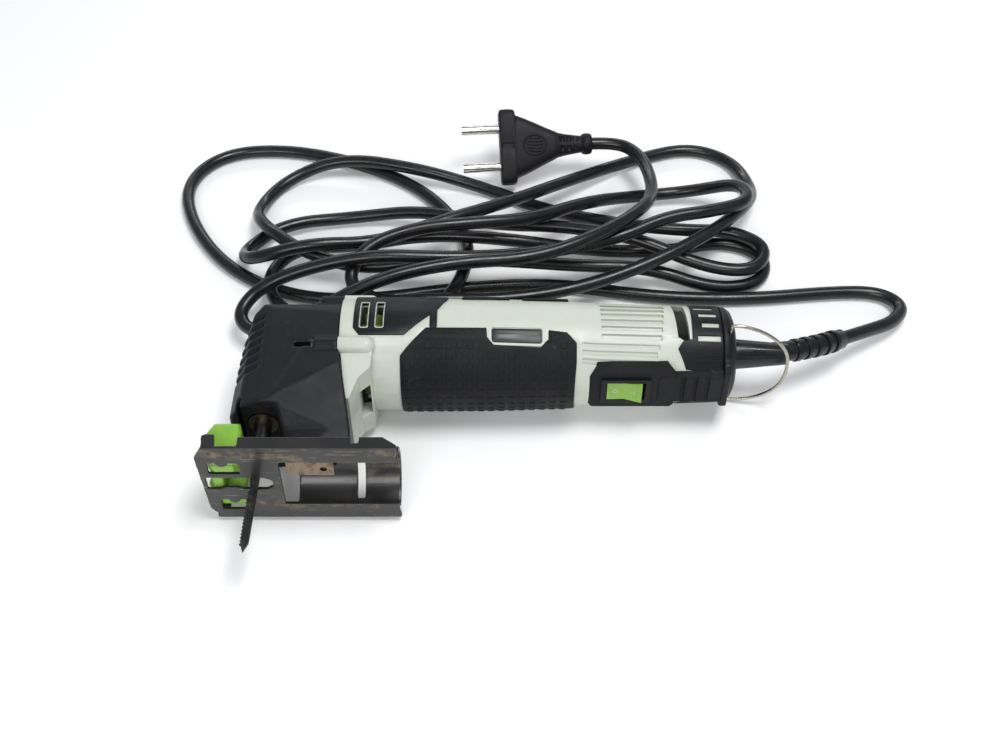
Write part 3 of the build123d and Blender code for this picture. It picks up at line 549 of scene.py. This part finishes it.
def bail_wire():
    """Smooth bent wire on the line of the CAD bail, its two stubs in the eyes of the cap."""
    pivot_x, pivot_y = 95.5, -5.0
    drop = math.tan(math.radians(8))
    half = [(pivot_x, 17.8), (pivot_x, 21.2), (96.3, 22.7), (100.5, 22.9), (108.5, 20.9),
            (116.5, 15.4), (121.2, 7)]
    line = half + [(x, -z) for x, z in reversed(half)]
    places = [at(x, pivot_y - (x - pivot_x) * drop, z) for x, z in line]
    thing = tube_curve("bail_wire", places, BAIL_R * MM, 4)
    thing.data.materials.append(metal("worn_wire", (0.42, 0.39, 0.34), 0.26, (0.3, 0.3, 1), 900, 0.06))
    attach(thing, "bail")
    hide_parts("hanging_bail")


bail_wire()


# ---------------------------------------------------------------- marks on the rocker
def rocker_marks():
    """Ring and bar moulded on the two halves of the rocker's face."""
    pivot, tilt = Vector((52.3, -18.4)), math.radians(-8)
    sunk, proud = -0.1, 0.07
    vertices = []

    def on_rocker(x, z, lift):
        """A place over the tilted rocker's two sloping faces."""
        face_y = -2.7 - 1.2 * abs(x) / 7.3 - lift
        turned = Vector((x * math.cos(tilt) - face_y * math.sin(tilt),
                         x * math.sin(tilt) + face_y * math.cos(tilt)))
        return at(pivot.x + turned.x, pivot.y + turned.y, z)

    count = 32
    for step in range(count):
        angle = 2 * math.pi * step / count
        for radius, lift in ((0.75, sunk), (0.82, proud), (1.13, proud), (1.2, sunk)):
            vertices.append(on_rocker(-3.9 + radius * math.cos(angle), radius * math.sin(angle), lift))
    faces = ring_faces(count, 4)
    start = len(vertices)
    for lift, shrink in ((sunk, 0.0), (proud, 0.05)):
        for x, z in ((3.7, -1.2), (4.1, -1.2), (4.1, 1.2), (3.7, 1.2)):
            vertices.append(on_rocker(x + math.copysign(shrink, 3.9 - x),
                                      z - math.copysign(shrink, z), lift))
    for edge in range(4):
        after = (edge + 1) % 4
        faces.append((start + edge, start + after, start + 4 + after, start + 4 + edge))
    faces += [(start + 3, start + 2, start + 1, start), (start + 4, start + 5, start + 6, start + 7)]
    return mesh_of("rocker_marks", vertices, faces)


add_mesh("rocker_marks", rocker_marks(), "white_casing", "rocker")


# ---------------------------------------------------------------- lead and plug
# from the strain relief to the plug, in the finished frame, mm
ROUTE = [
    # strain relief, then the tight hairpin behind it
    (147.7, 55.0, 16.5), (163.5, 65.5, 11.2), (177.5, 74.8, 7), (185, 87, 4.4), (177, 97.3, 3.3),
    (158, 98.6, 3.2),
    # along the back of the tool, lowest of all
    (110, 93, 3.2), (68, 95, 3.2), (24, 104, 3.2), (-22, 101, 3.2), (-62, 93, 3.2), (-98, 94, 3.2),
    # outer left loop
    (-132, 113, 3.2), (-155, 146, 3.2), (-163, 178, 3.2), (-146, 202, 3.2), (-112, 205, 3.2),
    (-73, 193, 3.2), (-40, 172, 3.2), (-19, 140, 3.2), (-17, 110, 9.9), (-28, 82, 9.9),
    # hidden turn behind the tool, then the long straight strand to the right
    (-50, 71, 3.2), (-78, 71, 3.2), (-104, 80, 9.9), (-112, 101, 9.9), (-100, 122, 9.9),
    (-72, 130, 3.2), (-38, 126, 14.6), (0, 123, 14.6), (40, 127, 3.2), (78, 126, 3.2), (106, 134, 3.2),
    (126, 124, 3.2), (122, 104, 3.2), (98, 100, 3.2),
    # back to the left and round the middle left loop
    (68, 108, 9.9), (36, 109, 9.9), (4, 108, 14), (-30, 106, 18), (-66, 106, 9.9), (-94, 110, 17),
    (-116, 130, 17), (-124, 156, 3.2), (-112, 180, 3.2), (-84, 190, 9.9), (-46, 182, 9.9),
    (-12, 175, 3.2), (20, 157, 3.2), (54, 139, 9.9), (86, 134, 9.9), (110, 134, 9.9),
    (126, 122, 9.9), (118, 105, 9.9), (94, 108, 9.9),
    # along the top of the bundle to the inner left loop
    (62, 122, 16.5), (28, 130, 16.5), (-6, 138, 10), (-40, 149, 10), (-76, 151, 3.2),
    (-108, 143, 6.5), (-127, 126, 3.2), (-120, 106, 16), (-92, 108, 25), (-60, 116, 18),
    (-30, 128, 21.5), (0, 146, 17), (34, 172, 10.5), (66, 196, 3.2), (96, 207, 3.2),
    (118, 196, 3.2), (125, 172, 5), (120, 148, 16), (102, 124, 21), (72, 104, 18.5),
    (36, 92, 12), (0, 84, 12), (-34, 80, 16.5),
    # short turn behind the tool, then up to the right and back again
    (-56, 78, 16), (-73, 89, 17), (-66, 105, 25), (-44, 115, 28), (-16, 119, 28),
    (12, 126, 24), (40, 146, 18), (66, 164, 6), (94, 168, 6), (116, 158, 20), (118, 138, 25),
    (98, 128, 27.5), (76, 124, 27.5), (52, 112, 24), (14, 104, 22), (-26, 98, 25),
    (-60, 96, 29), (-90, 93, 24),
    # last turn behind the head and out to the plug
    (-112, 88, 17), (-122, 74, 12), (-112, 62, 12), (-90, 63, 20),
    (-60, 77, 31), (-24, 88, 32), (14, 92, 30.5), (46, 108, 32), (65, 128, 29), (72, 148, 21),
    (72, 168, 18), (68, 183, 17.7), (58, 192.5, 17.7), (44.5, 191.5, 17.7),
]
CORD_R = 3.1


def lead():
    """The whole lead as one smooth curve."""
    thing = tube_curve("power_lead", [Vector(place) * MM for place in ROUTE], CORD_R * MM, 5)
    dress(thing, "cord_jacket")
    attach(thing, "housing")
    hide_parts("power_cord")
    return thing


def plug_frame():
    """Where the plug lies: x on from the lead, y across its pins, z out of its upper face."""
    tail, before = Vector(ROUTE[-1]), Vector(ROUTE[-2])
    pin_line = Vector((0.1, 0.72, 0.69))
    x = (tail - before).normalized()
    z = x.cross(pin_line).normalized()
    y = z.cross(x)
    matrix = Matrix((x, y, z)).transposed().to_4x4()
    matrix.translation = tail * MM
    return matrix @ Matrix.Scale(MM, 4)


def plug_mesh():
    """Collar, flexible neck and widening body, in (x, half_wide, half_thick, power) stations."""
    stations = [
        (0.0, 3.6, 3.6, 2.0), (0.3, 4.6, 4.6, 2.0), (1.2, 5.2, 5.2, 2.0), (2.8, 5.4, 5.4, 2.0),
        (4.4, 5.2, 5.2, 2.0), (5.2, 4.7, 4.6, 2.0), (5.6, 4.2, 4.1, 2.0), (6.4, 4.3, 4.2, 2.1),
        (10.0, 4.8, 4.5, 2.3), (14, 5.4, 4.8, 2.5), (17.5, 6.2, 5.2, 2.7), (18.6, 6.8, 5.7, 2.8),
        (20, 7.4, 5.9, 3.0), (24, 9.2, 6.2, 3.4), (29, 11.6, 6.4, 3.8), (34, 13.9, 6.6, 4.2),
        (38.2, 15.6, 6.7, 4.5), (38.8, 16.1, 6.7, 4.5), (39.0, 17.6, 6.75, 4.6),
        (39.4, 18.4, 6.9, 4.8), (40.4, 18.8, 7.0, 5.0), (43, 18.95, 7.0, 5.2), (46, 18.8, 7.0, 5.2),
        (46.7, 18.4, 6.8, 5.0), (47.0, 17.6, 6.3, 4.8),
    ]
    vertices, faces = loft(stations, 56)
    return mesh_of("plug", vertices, faces)


def cut_with(thing, cutters):
    """Subtracts closed meshes from a piece, and leaves a plain mesh."""
    for cutter in cutters:
        step = thing.modifiers.new("cut", "BOOLEAN")
        step.operation = "DIFFERENCE"
        step.solver = "EXACT"
        step.object = cutter
    bpy.context.view_layer.update()
    seen = bpy.context.evaluated_depsgraph_get()
    mesh = bpy.data.meshes.new_from_object(thing.evaluated_get(seen))
    thing.modifiers.clear()
    thing.data = mesh
    for cutter in cutters:
        bpy.data.objects.remove(cutter)


def cutter_box(matrix, x, y, z):
    """Box with slightly rounded edges between pairs of places along each axis."""
    mesh = bpy.data.meshes.new("cutter")
    grid = bmesh.new()
    bmesh.ops.create_cube(grid, size=1)
    bmesh.ops.bevel(grid, geom=grid.edges[:], offset=0.06, segments=2, affect="EDGES")
    grid.to_mesh(mesh)
    grid.free()
    thing = stand("cutter", mesh)
    middle = Vector([(pair[0] + pair[1]) / 2 for pair in (x, y, z)])
    size = Vector([pair[1] - pair[0] for pair in (x, y, z)])
    thing.matrix_world = matrix @ Matrix.Translation(middle) @ Matrix.Diagonal((*size, 1))
    return thing


def plug():
    """The plug's body, with slots in its neck and a notch between its pins."""
    matrix = plug_frame()
    thing = stand("mains_plug", plug_mesh())
    thing.matrix_world = matrix
    cutters = []
    for face in (1, -1):
        # slots of the flexible collar, in two rows on each face
        for row in (-1, 1):
            for number in range(3):
                x = 8.0 + 3.2 * number
                y = (row * 2.4 - 1.5, row * 2.4 + 1.5)
                z = sorted((face * 3.2, face * 7))
                cutters.append(cutter_box(matrix, (x, x + 1.5), y, z))
        cutters.append(cutter_box(matrix, (40, 46), (-1.6, 1.6), sorted((face * 6.2, face * 9))))
    cut_with(thing, cutters)
    thing.data.transform(matrix)
    thing.matrix_world = Matrix.Identity(4)
    for face in thing.data.polygons:
        face.use_smooth = True
    edge = thing.modifiers.new("edges", "WEIGHTED_NORMAL")
    edge.keep_sharp = True
    dress(thing, "plug_plastic")
    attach(thing, "housing")
    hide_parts("plug_body")
    return thing, matrix


def finger_pads(matrix):
    """Oval ring with cross ribs on both faces of the plug."""
    middle_x, half_long, half_wide = 29.5, 5.6, 5.0
    ring_spread, ring_rise = 0.62, 0.5
    rib_pitch, rib_long, rib_wide = 1.6, 4.2, 4.4
    rotation = matrix.to_3x3().normalized()
    vertices, faces = [], []
    count, tube = 48, 8
    for face in (1, -1):
        start = len(vertices)
        for step in range(count):
            angle = 2 * math.pi * step / count
            for turn in range(tube):
                swing = 2 * math.pi * turn / tube
                out = ring_spread * math.cos(swing)
                x = middle_x + (half_long + out) * math.cos(angle)
                y = (half_wide + out) * math.sin(angle)
                thick = 6.1 + 0.035 * (x - 24)
                z = face * (thick + ring_rise * math.sin(swing))
                vertices.append(matrix @ Vector((x, y, z)))
        for step in range(count):
            for turn in range(tube):
                a = start + step * tube + turn
                b = start + step * tube + (turn + 1) % tube
                c = start + ((step + 1) % count) * tube + (turn + 1) % tube
                d = start + ((step + 1) % count) * tube + turn
                faces.append((a, b, c, d) if face > 0 else (d, c, b, a))
    ribs = []
    for face in (1, -1):
        for number in range(5):
            y = -3.2 + rib_pitch * number
            half = math.sqrt(1 - (y / rib_wide) ** 2) * rib_long
            centre = matrix @ Vector((middle_x, y, face * 6.28))
            ribs.append((centre, rotation @ Vector((0, 1, 0)), rotation @ Vector((1, 0, 0)),
                         rotation @ Vector((0, 0, face)), 0.42 * MM, half * MM, 0.5 * MM, 0.16 * MM))
    more, rib_faces = pillows(ribs)
    offset = len(vertices)
    faces += [tuple(index + offset for index in face) for face in rib_faces]
    return mesh_of("plug_finger_pads", vertices + more, faces)


cord = lead()
plug_piece, plug_place = plug()
pads = add_mesh("plug_finger_pads", finger_pads(plug_place), "plug_plastic", "housing")


# ---------------------------------------------------------------- floor, light and camera
def floor():
    """Pale table top, lifted a little towards white."""
    mesh = mesh_of("floor", [(-4, -3, 0), (4, -3, 0), (4, 5, 0), (-4, 5, 0)], [(0, 1, 2, 3)])
    thing = stand("floor", mesh)
    graph = Graph("pale_floor", 0.55)
    graph.shader.inputs["Emission Color"].default_value = (1, 1, 1, 1)
    graph.shader.inputs["Emission Strength"].default_value = 0.1
    graph.colour(graph.mix(graph.ramp(graph.noise(3, 3), 0.3, 0.7), (0.80, 0.80, 0.80),
                           (0.84, 0.84, 0.84)))
    thing.data.materials.append(graph.material)


def softbox(name, place, target, size, power):
    """White rectangular lamp aimed at a target."""
    light = bpy.data.lights.new(name, "AREA")
    light.shape = "RECTANGLE"
    light.size, light.size_y = size
    light.energy = power
    thing = stand(name, light)
    thing.location = place
    aim = Vector(target) - Vector(place)
    thing.rotation_euler = aim.to_track_quat("-Z", "Y").to_euler()


def sky(strength):
    """Even, faintly blue light from all round."""
    world = bpy.data.worlds.new("studio")
    bpy.context.scene.world = world
    world.use_nodes = True
    shade = world.node_tree.nodes["Background"]
    shade.inputs["Color"].default_value = (0.92, 0.95, 1, 1)
    shade.inputs["Strength"].default_value = strength


def camera():
    """Looks down at the lying tool from the side that the blade points to."""
    elevation = math.radians(48)
    distance = 0.548
    lens = bpy.data.cameras.new("camera")
    lens.lens = 46.8
    lens.sensor_width = 36
    lens.clip_start = 0.01
    thing = stand("camera", lens)
    target = at(0, -12, 0)
    thing.location = target + distance * Vector((0, -math.cos(elevation), math.sin(elevation)))
    thing.rotation_euler = (math.pi / 2 - elevation, 0, 0)
    bpy.context.scene.camera = thing


floor()
softbox("key", (0.25, -0.05, 1.1), (0, 0.04, 0), (0.5, 0.35), 8.8)
softbox("front", (-0.25, -0.9, 0.75), (0, 0.05, 0), (0.7, 0.4), 5.2)
softbox("back", (-0.1, 1.15, 0.55), (0, 0.1, 0), (1.2, 0.15), 3)
sky(0.38)
camera()
bpy.context.scene.view_settings.view_transform = "Standard"
